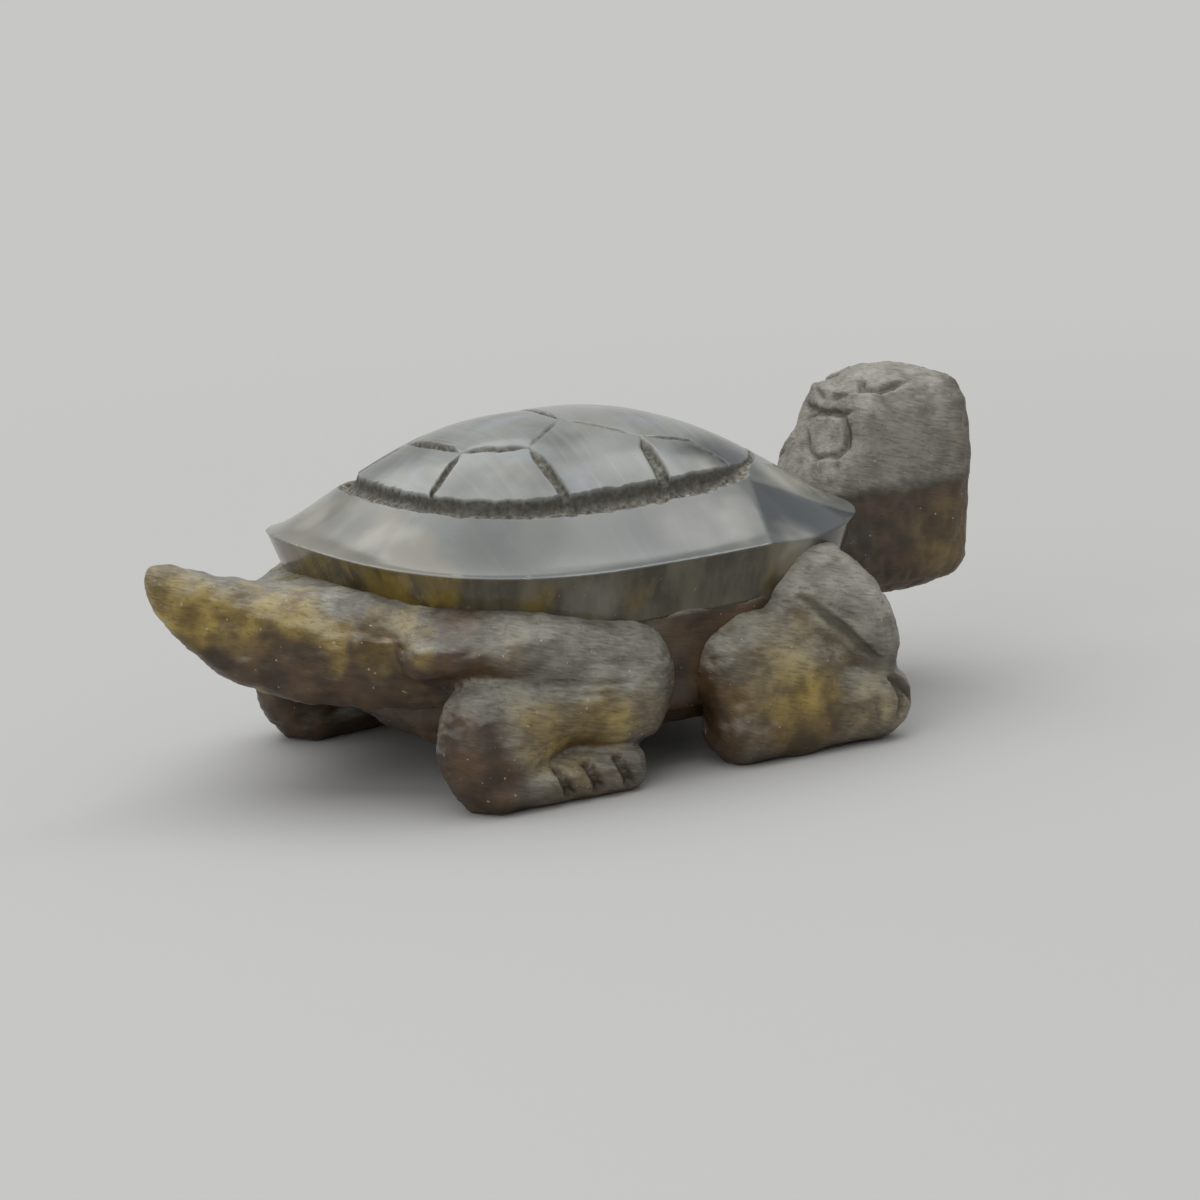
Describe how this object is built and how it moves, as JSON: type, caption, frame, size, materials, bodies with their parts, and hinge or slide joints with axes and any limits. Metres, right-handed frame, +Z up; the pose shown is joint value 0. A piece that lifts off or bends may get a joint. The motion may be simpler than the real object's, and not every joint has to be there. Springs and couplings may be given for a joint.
{
  "type": "turtle figurine",
  "caption": "Carved stone turtle ornament with a domed scute-lined shell, folded legs, a thick upturned tail and a raised blunt head.",
  "frame": {"origin": "centre of the figure's footprint box, on the plane of the four soles", "axes": "+X towards the head, +Y towards the turtle's left, +Z up; the figure is mirrored across the XZ plane"},
  "size_m": [0.0838, 0.0454, 0.0306],
  "materials": {
    "polished_labradorite": "polished",
    "carved_labradorite": "tool-marked, satin"
  },
  "bodies": {
    "root": {"carapace_dome": "polished_labradorite", "marginal_rim": "polished_labradorite", "trunk": "carved_labradorite", "plastron": "carved_labradorite", "neck": "carved_labradorite", "head": "carved_labradorite", "tail": "carved_labradorite", "rear_left_leg": "carved_labradorite", "rear_right_leg": "carved_labradorite", "front_left_leg": "carved_labradorite", "front_right_leg": "carved_labradorite"}
  },
  "joints": []
}
